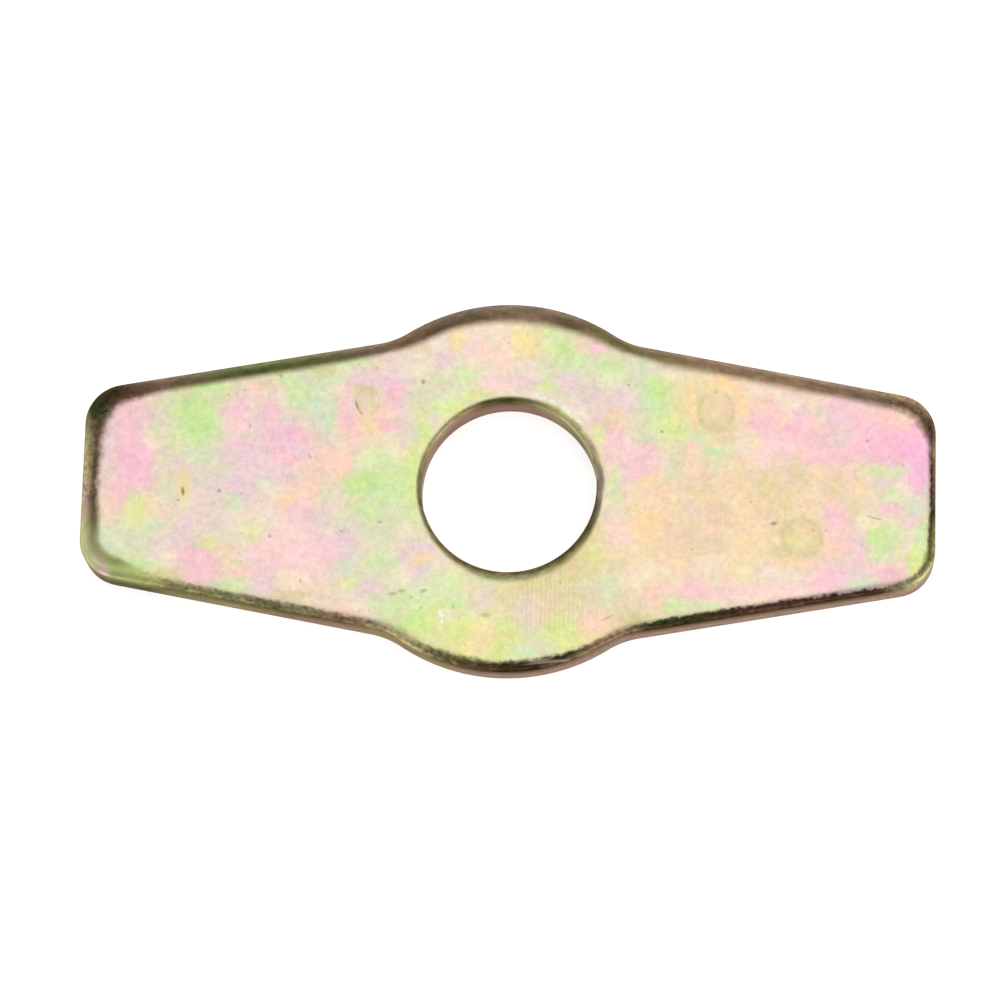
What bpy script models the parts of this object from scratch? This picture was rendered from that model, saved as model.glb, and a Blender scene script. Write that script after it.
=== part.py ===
"""Wing washer: one flat steel stamping, a round hub with a bolt hole and a tapered wing on each side.

The washer lies flat. Its origin is on the hole's axis, on the underside, with +X along the wings and
+Z up through the rounded face. Lengths are in metres.
"""

import math

import bmesh
import bpy

# Outline
LENGTH = 0.050
HUB_DIAMETER = 0.0222
WING_TIP_WIDTH = 0.0110
WING_SET_IN = 0.0011  # the wings' edges, carried on to the hub's centre line, end this far inside its rim
HUB_FILLET_RADIUS = 0.0048
TIP_CORNER_RADIUS = 0.0024

# Bolt hole
HOLE_DIAMETER = 0.0103

# Section of the sheet, with the edges that a blanking punch leaves
THICKNESS = 0.0025
EDGE_ROLL_WIDTH = 0.0010
EDGE_ROLL_DEPTH = 0.0006
EDGE_FRACTURE_HEIGHT = 0.0008
EDGE_FRACTURE_TAPER = 0.00001
HOLE_ROLL_WIDTH = 0.00055
HOLE_ROLL_DEPTH = 0.00035
HOLE_FRACTURE_HEIGHT = 0.0009
HOLE_FRACTURE_TAPER = 0.00001
UNDERSIDE_EDGE_RADIUS = 0.00005

# Fineness of the facets
OUTLINE_ARC_STEP = math.radians(4)
HOLE_STEPS = 96
ROLL_STEPS = 8
UNDERSIDE_EDGE_STEPS = 2
CUTTER_OVERRUN = 0.001

# Finish of the plated steel
PLATING_COLOUR = (0.72, 0.67, 0.48, 1.0)
PLATING_ROUGHNESS = 0.34


def clear_scene():
    for old in list(bpy.data.objects):
        bpy.data.objects.remove(old, do_unlink=True)


def new_collection(name):
    collection = bpy.data.collections.new(name)
    bpy.context.scene.collection.children.link(collection)
    return collection


def arc_points(centre, radius, start, end):
    """Points along an arc, both ends included."""
    count = max(2, math.ceil(abs(end - start) / OUTLINE_ARC_STEP))
    angles = [start + (end - start) * i / count for i in range(count + 1)]
    return [
        (centre[0] + radius * math.cos(angle), centre[1] + radius * math.sin(angle))
        for angle in angles
    ]


def quarter_outline():
    """The outline from the hub's crown on +Y round to the end of the wing on +X: hub, fillet, wing and corner."""
    hub_radius = HUB_DIAMETER / 2
    half_length = LENGTH / 2
    root_half_width = hub_radius - WING_SET_IN
    slope = (root_half_width - WING_TIP_WIDTH / 2) / half_length
    stretch = math.hypot(1, slope)
    edge_normal = (slope / stretch, 1 / stretch)
    edge_run = (1 / stretch, -slope / stretch)
    normal_angle = math.atan2(edge_normal[1], edge_normal[0])

    # The fillet's centre lies its own radius outside both the hub's rim and the wing's edge.
    reach_from_hub = hub_radius + HUB_FILLET_RADIUS
    reach_from_edge = root_half_width / stretch + HUB_FILLET_RADIUS
    along_edge = math.sqrt(reach_from_hub**2 - reach_from_edge**2)
    fillet_centre = (
        edge_normal[0] * reach_from_edge + edge_run[0] * along_edge,
        edge_normal[1] * reach_from_edge + edge_run[1] * along_edge,
    )
    fillet_angle = math.atan2(fillet_centre[1], fillet_centre[0])

    # The corner's centre lies its own radius inside both the wing's edge and the wing's end.
    corner_x = half_length - TIP_CORNER_RADIUS
    corner_y = root_half_width - slope * corner_x - TIP_CORNER_RADIUS * stretch

    hub = arc_points((0, 0), hub_radius, math.pi / 2, fillet_angle)
    fillet = arc_points(
        fillet_centre, HUB_FILLET_RADIUS, fillet_angle + math.pi, normal_angle + math.pi
    )
    corner = arc_points((corner_x, corner_y), TIP_CORNER_RADIUS, normal_angle, 0)
    return hub + fillet[1:] + corner


def whole_outline():
    """The quarter mirrored below for the right half, and that half turned round for the left."""
    quarter = quarter_outline()
    right = quarter + [(x, -y) for x, y in reversed(quarter)]
    left = [(-x, -y) for x, y in right]
    return right[:-1] + left[:-1]


def blank_mesh():
    """The blank's burnished land: the outline as a flat filled curve, extruded and made a mesh."""
    land_height = THICKNESS - EDGE_ROLL_DEPTH - EDGE_FRACTURE_HEIGHT
    curve = bpy.data.curves.new("wing_washer_outline", "CURVE")
    curve.dimensions = "2D"
    curve.fill_mode = "BOTH"
    curve.extrude = land_height / 2
    points = whole_outline()
    spline = curve.splines.new("POLY")
    spline.points.add(len(points) - 1)
    for point, (x, y) in zip(spline.points, points):
        point.co = (x, y, 0, 1)
    spline.use_cyclic_u = True

    guide = bpy.data.objects.new("wing_washer_outline", curve)
    bpy.context.scene.collection.objects.link(guide)
    evaluated = guide.evaluated_get(bpy.context.evaluated_depsgraph_get())
    mesh = bpy.data.meshes.new_from_object(evaluated)
    bpy.data.objects.remove(guide, do_unlink=True)

    shape = bmesh.new()
    shape.from_mesh(mesh)
    bmesh.ops.translate(
        shape, verts=shape.verts, vec=(0, 0, EDGE_FRACTURE_HEIGHT + land_height / 2)
    )
    bmesh.ops.remove_doubles(shape, verts=shape.verts, dist=1e-6)
    bmesh.ops.recalc_face_normals(shape, faces=shape.faces)
    shape.to_mesh(mesh)
    shape.free()
    mesh.name = "wing_washer"
    return mesh


def flat_face(shape, side):
    """The blank's upper face for side 1 or its under face for side -1, as one polygon."""
    faces = [face for face in shape.faces if face.normal.z * side > 0.99]
    if len(faces) == 1:
        return faces[0]
    return bmesh.ops.dissolve_faces(shape, faces=faces)["region"][0]


def quarter_ellipse_steps(width, depth, count):
    """(inset, rise) of each step from an upright wall onto a flat face."""
    angles = [math.pi / 2 * i / count for i in range(count + 1)]
    path = [(width * (1 - math.cos(angle)), depth * math.sin(angle)) for angle in angles]
    return [(b[0] - a[0], b[1] - a[1]) for a, b in zip(path, path[1:])]


def draw_out(shape, side, steps):
    """Insets one of the blank's flat faces and moves it outwards, step by step."""
    for inset, rise in steps:
        face = flat_face(shape, side)
        bmesh.ops.inset_region(
            shape, faces=[face], thickness=inset, depth=rise, use_even_offset=True
        )


def shape_edges(mesh):
    """The rolled upper edge, and under the land the fracture zone, which ends in a small tumbled edge."""
    edge_radius = min(UNDERSIDE_EDGE_RADIUS, EDGE_FRACTURE_HEIGHT / 2)
    fracture = [(EDGE_FRACTURE_TAPER, EDGE_FRACTURE_HEIGHT - edge_radius)]
    underside_edge = quarter_ellipse_steps(edge_radius, edge_radius, UNDERSIDE_EDGE_STEPS)
    roll = quarter_ellipse_steps(EDGE_ROLL_WIDTH, EDGE_ROLL_DEPTH, ROLL_STEPS)

    shape = bmesh.new()
    shape.from_mesh(mesh)
    draw_out(shape, 1, roll)
    draw_out(shape, -1, fracture + underside_edge)
    shape.to_mesh(mesh)
    shape.free()


def hole_profile():
    """Half section of what the punch removes, from the top of the axis down its outer side to the bottom."""
    radius = HOLE_DIAMETER / 2
    edge_radius = min(UNDERSIDE_EDGE_RADIUS, HOLE_FRACTURE_HEIGHT / 2)
    mouth = []
    for i in range(ROLL_STEPS + 1):
        angle = math.pi / 2 * (1 - i / ROLL_STEPS)
        outwards = radius + HOLE_ROLL_WIDTH * (1 - math.cos(angle))
        mouth.append((outwards, THICKNESS - HOLE_ROLL_DEPTH * (1 - math.sin(angle))))
    lower_radius = radius + HOLE_FRACTURE_TAPER
    foot = []
    for i in range(UNDERSIDE_EDGE_STEPS + 1):
        angle = math.pi / 2 * i / UNDERSIDE_EDGE_STEPS
        outwards = lower_radius + edge_radius * (1 - math.cos(angle))
        foot.append((outwards, edge_radius * (1 - math.sin(angle))))
    top = THICKNESS + CUTTER_OVERRUN
    bottom = -CUTTER_OVERRUN
    return (
        [(0, top), (mouth[0][0], top)]
        + mouth
        + [(radius, HOLE_FRACTURE_HEIGHT)]
        + foot
        + [(foot[-1][0], bottom), (0, bottom)]
    )


def hole_cutter(collection):
    """The punch as a turned solid, a little longer than the sheet is thick."""
    profile = hole_profile()
    mesh = bpy.data.meshes.new("hole_punch")
    edges = [(i, i + 1) for i in range(len(profile) - 1)]
    mesh.from_pydata([(radius, 0, height) for radius, height in profile], edges, [])
    punch = bpy.data.objects.new("hole_punch", mesh)
    collection.objects.link(punch)
    punch.hide_render = True
    punch.display_type = "WIRE"
    screw = punch.modifiers.new("turn", "SCREW")
    screw.axis = "Z"
    screw.angle = 2 * math.pi
    screw.steps = HOLE_STEPS
    screw.render_steps = HOLE_STEPS
    screw.use_merge_vertices = True
    screw.merge_threshold = 1e-6
    return punch


def plated_steel():
    """Zinc plate with a yellow chromate finish."""
    material = bpy.data.materials.new("yellow_zinc_steel")
    material.use_nodes = True
    shader = material.node_tree.nodes["Principled BSDF"]
    shader.inputs["Base Color"].default_value = PLATING_COLOUR
    shader.inputs["Metallic"].default_value = 1.0
    shader.inputs["Roughness"].default_value = PLATING_ROUGHNESS
    return material


def wing_washer(collection, cutters):
    mesh = blank_mesh()
    shape_edges(mesh)
    mesh.materials.clear()
    mesh.materials.append(plated_steel())
    washer = bpy.data.objects.new("wing_washer", mesh)
    collection.objects.link(washer)
    cut = washer.modifiers.new("bolt_hole", "BOOLEAN")
    cut.operation = "DIFFERENCE"
    cut.solver = "EXACT"
    cut.object = hole_cutter(cutters)
    mesh.shade_smooth()
    mesh.set_sharp_from_angle(angle=math.radians(35))
    return washer


clear_scene()
wing_washer(new_collection("wing_washer"), new_collection("cutters"))
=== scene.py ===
"""Dressed model of a wing washer: one yellow-zinc steel stamping that lies flat on a pale floor."""

import math

import bpy
import numpy as np
from mathutils import Matrix, Vector, noise


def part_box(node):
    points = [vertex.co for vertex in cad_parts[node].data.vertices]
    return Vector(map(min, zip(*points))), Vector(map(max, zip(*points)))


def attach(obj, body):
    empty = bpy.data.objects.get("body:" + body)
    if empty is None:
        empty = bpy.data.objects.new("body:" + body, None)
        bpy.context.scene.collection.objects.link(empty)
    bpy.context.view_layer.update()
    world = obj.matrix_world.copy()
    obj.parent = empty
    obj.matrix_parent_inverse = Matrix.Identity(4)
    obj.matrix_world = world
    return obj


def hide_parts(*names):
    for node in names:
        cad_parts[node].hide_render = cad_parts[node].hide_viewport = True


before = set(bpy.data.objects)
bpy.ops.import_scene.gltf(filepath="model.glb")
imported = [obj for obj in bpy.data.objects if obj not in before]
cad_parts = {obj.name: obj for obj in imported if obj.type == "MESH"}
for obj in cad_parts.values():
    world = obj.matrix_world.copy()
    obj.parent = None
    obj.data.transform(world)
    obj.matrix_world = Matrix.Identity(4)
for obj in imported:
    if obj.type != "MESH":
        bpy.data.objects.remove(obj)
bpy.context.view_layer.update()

# The washer's shape
# The real piece is blanked from 2.5 mm steel sheet in one stroke: a round hub with a wing on each side.
# The punch rolls the upper edge over, leaves a burnished wall under it and tears the lowest third. The
# bolt hole is punched from the same side, and tumbling takes the burr off the lower edges.

washer_low, washer_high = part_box("wing_washer")
MM = 0.001
HALF_LENGTH = washer_high.x - 0.0003 * MM  # a hair short, so that rounding keeps it inside
HUB_RADIUS = washer_high.y
THICKNESS = washer_high.z
WING_TIP_WIDTH = 11.0 * MM
WING_SET_IN = 1.1 * MM
HUB_FILLET_RADIUS = 4.8 * MM
TIP_CORNER_RADIUS = 2.4 * MM
HOLE_RADIUS = 5.15 * MM

ROLL_WIDTH = 1.0 * MM
ROLL_DEPTH = 0.6 * MM
FRACTURE_HEIGHT = 0.8 * MM
FRACTURE_TAPER = 0.01 * MM
HOLE_ROLL_WIDTH = 0.55 * MM
HOLE_ROLL_DEPTH = 0.35 * MM
HOLE_FRACTURE_HEIGHT = 0.9 * MM
HOLE_FRACTURE_TAPER = 0.01 * MM
TUMBLED_EDGE = 0.05 * MM

POINTS_ROUND = 720
ROLL_STEPS = 12
TUMBLED_STEPS = 2
HOLE_ROLL_STEPS = 7
FACE_CUTS = 80
UNDERSIDE_CUTS = 12
ARC_POINTS = 60
POINTS_BETWEEN = 50
TOUCHING = 0.0005 * MM
LEVEL_WITH = 0.001 * MM


def arc(centre, radius, start, end):
    """Points along an arc, both ends included."""
    angles = np.linspace(start, end, ARC_POINTS)
    return [(centre[0] + radius * math.cos(a), centre[1] + radius * math.sin(a)) for a in angles]


def outline():
    """The washer's outline as closely spaced points, all the way round."""
    root = HUB_RADIUS - WING_SET_IN
    slope = (root - WING_TIP_WIDTH / 2) / HALF_LENGTH
    stretch = math.hypot(1, slope)
    normal = (slope / stretch, 1 / stretch)
    run = (1 / stretch, -slope / stretch)
    normal_angle = math.atan2(normal[1], normal[0])

    from_hub = HUB_RADIUS + HUB_FILLET_RADIUS
    from_edge = root / stretch + HUB_FILLET_RADIUS
    along = math.sqrt(from_hub**2 - from_edge**2)
    fillet = (normal[0] * from_edge + run[0] * along, normal[1] * from_edge + run[1] * along)
    fillet_angle = math.atan2(fillet[1], fillet[0])
    corner_x = HALF_LENGTH - TIP_CORNER_RADIUS
    corner = (corner_x, root - slope * corner_x - TIP_CORNER_RADIUS * stretch)

    quarter = arc((0, 0), HUB_RADIUS, math.pi / 2, fillet_angle)
    quarter += arc(fillet, HUB_FILLET_RADIUS, fillet_angle + math.pi, normal_angle + math.pi)
    quarter += arc(corner, TIP_CORNER_RADIUS, normal_angle, 0)
    half = quarter + [(x, -y) for x, y in reversed(quarter)]
    corners = np.array(half + [(-x, -y) for x, y in half])
    share = np.linspace(0, 1, POINTS_BETWEEN, endpoint=False)[:, None]
    runs = [a + share * (b - a) for a, b in zip(corners, np.roll(corners, -1, axis=0))]
    return np.concatenate(runs)


outline_points = outline()
outline_angle = np.arctan2(outline_points[:, 1], outline_points[:, 0])
outline_reach = np.hypot(outline_points[:, 0], outline_points[:, 1])


def reach_at(angle):
    """Distance from the hole's axis to the outline in that direction."""
    return np.interp(angle, outline_angle, outline_reach, period=2 * math.pi)


def quarter_ellipse(width, depth, count):
    """(inwards, upwards) for each step from an upright wall onto a flat face."""
    turns = np.linspace(0, math.pi / 2, count + 1)
    path = np.column_stack([width * (1 - np.cos(turns)), depth * np.sin(turns)])
    return np.diff(path, axis=0)


def points_of(mesh):
    """The mesh's points as an array of rows."""
    flat = np.empty(len(mesh.vertices) * 3)
    mesh.vertices.foreach_get("co", flat)
    return flat.reshape(-1, 3)


def move_points(mesh, points):
    """Puts the points back into the mesh."""
    mesh.vertices.foreach_set("co", points.ravel())
    mesh.update()


def pick(mesh, kind, wanted):
    """Selects only the wanted faces or edges, and goes back to edit mode."""
    bpy.ops.mesh.select_all(action="DESELECT")
    bpy.ops.mesh.select_mode(type=kind)
    bpy.ops.object.mode_set(mode="OBJECT")
    items = mesh.polygons if kind == "FACE" else mesh.edges
    items.foreach_set("select", np.array(wanted, bool))
    bpy.ops.object.mode_set(mode="EDIT")


def edges_at(mesh, height, narrowest, widest):
    """Which edges have both ends at this height and between these distances from the axis."""
    bpy.ops.object.mode_set(mode="OBJECT")
    points = points_of(mesh)
    ends = np.empty(len(mesh.edges) * 2, int)
    mesh.edges.foreach_get("vertices", ends)
    out = np.hypot(points[:, 0], points[:, 1])
    near = (abs(points[:, 2] - height) < LEVEL_WITH) & (out > narrowest) & (out < widest)
    bpy.ops.object.mode_set(mode="EDIT")
    return near[ends.reshape(-1, 2)].all(axis=1)


# The blank starts as a filled circle, which is drawn out to the outline and pulled up by the burnished
# wall. The rolled edge is inset from its upper face, and the torn and tumbled one from its lower face.
bpy.ops.object.select_all(action="DESELECT")
bpy.ops.mesh.primitive_circle_add(
    vertices=POINTS_ROUND, radius=HUB_RADIUS, fill_type="NGON", location=(0, 0, FRACTURE_HEIGHT)
)
washer = bpy.context.object
washer.name = "plated_wing_washer"
washer.data.name = "plated_wing_washer"
bpy.ops.object.transform_apply(location=True, rotation=True, scale=True)
mesh = washer.data
points = points_of(mesh)
angle = np.arctan2(points[:, 1], points[:, 0])
points[:, 0] = reach_at(angle) * np.cos(angle)
points[:, 1] = reach_at(angle) * np.sin(angle)
move_points(mesh, points)

bpy.ops.object.mode_set(mode="EDIT")
bpy.ops.mesh.select_all(action="SELECT")
wall_height = THICKNESS - ROLL_DEPTH - FRACTURE_HEIGHT
bpy.ops.mesh.extrude_region_move(TRANSFORM_OT_translate={"value": (0, 0, wall_height)})
bpy.ops.mesh.select_all(action="SELECT")
bpy.ops.mesh.normals_make_consistent(inside=False)


def draw_out(side, steps):
    """Insets the upper face for side 1, or the lower face for side -1, and moves it outwards."""
    bpy.ops.object.mode_set(mode="OBJECT")
    wanted = [side * face.normal.z > 0.99 for face in mesh.polygons]
    bpy.ops.object.mode_set(mode="EDIT")
    pick(mesh, "FACE", wanted)
    for inset, rise in steps:
        bpy.ops.mesh.inset(thickness=inset, depth=rise, use_even_offset=True)


draw_out(1, quarter_ellipse(ROLL_WIDTH, ROLL_DEPTH, ROLL_STEPS))
draw_out(
    -1,
    [(FRACTURE_TAPER, FRACTURE_HEIGHT - TUMBLED_EDGE)]
    + list(quarter_ellipse(TUMBLED_EDGE, TUMBLED_EDGE, TUMBLED_STEPS)),
)
bpy.ops.mesh.select_all(action="DESELECT")
bpy.ops.mesh.select_face_by_sides(number=4, type="GREATER")
bpy.ops.mesh.delete(type="ONLY_FACE")

# The punch draws some of the edge further down than the rest: the roll is widest at the left end and at
# the hub's crown. Each place gives an angle round the hole and the roll's width there.
ROLL_WIDTH_ROUND = (
    (0, 0.85), (12, 1.0), (24, 1.1), (50, 1.0), (70, 1.0), (90, 1.2), (115, 1.1), (130, 0.95), (157, 0.9),
    (168, 1.2), (180, 1.0), (192, 1.2), (203, 1.0), (230, 1.0), (250, 1.05), (270, 1.05), (291, 1.1),
    (310, 0.95), (337, 0.95), (348, 1.1),
)
BATCH = 2000


def nearest_on_edge(points):
    """For each point, the nearest place on the outline, seen from above."""
    ends = np.column_stack([reach_at(ring) * np.cos(ring), reach_at(ring) * np.sin(ring)])
    steps = np.roll(ends, -1, axis=0) - ends
    found = np.empty((len(points), 2))
    for start in range(0, len(points), BATCH):
        part = points[start : start + BATCH, None, :2]
        share = ((part - ends) * steps).sum(2) / (steps**2).sum(1)
        foot = ends + np.clip(share, 0, 1)[..., None] * steps
        best = ((part - foot) ** 2).sum(2).argmin(1)
        found[start : start + BATCH] = foot[np.arange(len(best)), best]
    return found


ring = np.linspace(-math.pi, math.pi, POINTS_ROUND, endpoint=False)
bpy.ops.object.mode_set(mode="OBJECT")
points = points_of(mesh)
rolled = points[:, 2] > THICKNESS - ROLL_DEPTH + LEVEL_WITH
foot = nearest_on_edge(points[rolled])
degrees = np.degrees(np.arctan2(foot[:, 1], foot[:, 0])) % 360
widths = np.interp(degrees, *zip(*ROLL_WIDTH_ROUND), period=360)
points[rolled, :2] = foot + (points[rolled, :2] - foot) * widths[:, None]
move_points(mesh, points)
bpy.ops.object.mode_set(mode="EDIT")

# The flat face is drawn in from the rolled edge to the mouth of the bolt hole, and the edge of the mouth
# goes on down through the sheet: over its own small roll, down the wall, out a little where the steel
# tore, and round the tumbled edge. The underside then closes up to it.
MOUTH_RADIUS = HOLE_RADIUS + HOLE_ROLL_WIDTH
FOOT_RADIUS = HOLE_RADIUS + HOLE_FRACTURE_TAPER + TUMBLED_EDGE
JUST_OVER = 0.01 * MM


def draw_in(height, cuts, goal_radius, goal_angles=None):
    """Extrudes the outer ring at this height in to a circle and cuts the new faces crosswise.

    With goal angles, the circle's points take those angles, each the nearest shift of the ring.
    """
    pick(mesh, "EDGE", edges_at(mesh, height, goal_radius + JUST_OVER, 1))
    bpy.ops.mesh.extrude_edges_move()
    bpy.ops.object.mode_set(mode="OBJECT")
    points = points_of(mesh)
    new = np.arange(len(points) - POINTS_ROUND, len(points))
    angles = np.arctan2(points[new, 1], points[new, 0])
    if goal_angles is not None:
        order = np.argsort(angles)
        goals = np.sort(goal_angles)
        turned = [np.roll(goals, shift) for shift in range(-6, 7)]
        missed = [abs(np.angle(np.exp(1j * (angles[order] - goal)))).sum() for goal in turned]
        angles[order] = turned[int(np.argmin(missed))]
    points[new, 0] = goal_radius * np.cos(angles)
    points[new, 1] = goal_radius * np.sin(angles)
    move_points(mesh, points)
    ends = np.empty(len(mesh.edges) * 2, int)
    mesh.edges.foreach_get("vertices", ends)
    is_new = ends.reshape(-1, 2) >= new[0]
    bpy.ops.object.mode_set(mode="EDIT")
    pick(mesh, "EDGE", is_new.sum(axis=1) == 1)
    bpy.ops.mesh.subdivide_edgering(number_cuts=cuts, interpolation="LINEAR")
    return angles


mouth_angles = draw_in(THICKNESS, FACE_CUTS, MOUTH_RADIUS)
pick(mesh, "EDGE", edges_at(mesh, THICKNESS, 0, MOUTH_RADIUS + JUST_OVER))
hole_roll = quarter_ellipse(HOLE_ROLL_WIDTH, HOLE_ROLL_DEPTH, HOLE_ROLL_STEPS)
roll_down = [(-inwards, drop) for inwards, drop in hole_roll]
wall_down = [(0, THICKNESS - HOLE_ROLL_DEPTH - HOLE_FRACTURE_HEIGHT)]
tear_out = [(HOLE_FRACTURE_TAPER, HOLE_FRACTURE_HEIGHT - TUMBLED_EDGE)]
tumble_out = list(quarter_ellipse(TUMBLED_EDGE, TUMBLED_EDGE, TUMBLED_STEPS))
radius = MOUTH_RADIUS
for outwards, drop in roll_down[::-1] + wall_down + tear_out + tumble_out:
    grown = (radius + outwards) / radius
    bpy.ops.mesh.extrude_edges_move(TRANSFORM_OT_translate={"value": (0, 0, -drop)})
    bpy.ops.transform.resize(value=(grown, grown, 1), center_override=(0, 0, 0))
    radius += outwards

draw_in(0, UNDERSIDE_CUTS, FOOT_RADIUS, mouth_angles)
bpy.ops.mesh.select_all(action="SELECT")
bpy.ops.mesh.remove_doubles(threshold=TOUCHING)
bpy.ops.mesh.normals_make_consistent(inside=False)
bpy.ops.object.mode_set(mode="OBJECT")
bpy.ops.object.shade_smooth()

# The washer's surface
# The whole washer is zinc plated and dipped in yellow chromate, a film so thin that its colour changes
# with its thickness: pink and lilac beside green on the left wing, peach and orange on the right. It runs
# thicker and darker over the rolled edges. Their colour also holds painted reflection: dark bands and pale
# streaks where the rolled edges would mirror the dim room and the lamp.

# Shallow dents, one small deep pit on the left wing, and the slight unevenness of the sheet.
DENTS = (  # x, y, radius in mm, depth in mm
    (12.3, 4.5, 1.0, 0.030),
    (17.2, -2.9, 1.1, 0.035),
    (-8.6, 5.0, 0.8, 0.018),
    (16.2, 4.0, 0.4, 0.010),
    (-19.0, -0.6, 0.35, 0.050),
    (-3.5, -8.0, 0.45, 0.012),
    (2.6, -5.9, 1.5, 0.012),
)
WAVE_DEPTH = 0.006
WAVE_LENGTH = 5.0


def noise_over(x, y, size, layer):
    """Smooth noise between about -1 and 1 for points in mm, with features of this size in mm."""
    return np.array([noise.noise(Vector((a / size, b / size, layer))) for a, b in zip(x, y)])


points = points_of(mesh)
x_mm = points[:, 0] / MM
y_mm = points[:, 1] / MM
from_axis = np.hypot(points[:, 0], points[:, 1])
on_top = points[:, 2] > THICKNESS - 0.0001 * MM
on_underside = points[:, 2] < 0.0001 * MM
wave = 0.5 + 0.5 * noise_over(x_mm, y_mm, WAVE_LENGTH, 3.5)
dip = WAVE_DEPTH * wave
for x, y, reach, depth in DENTS:
    near = np.hypot(x_mm - x, y_mm - y) / reach
    dip += depth * np.where(near < 1, (1 - near**2) ** 2, 0)
points[on_top, 2] -= dip[on_top] * MM
points[on_underside, 2] += WAVE_DEPTH * wave[on_underside] * MM
move_points(mesh, points)

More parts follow.
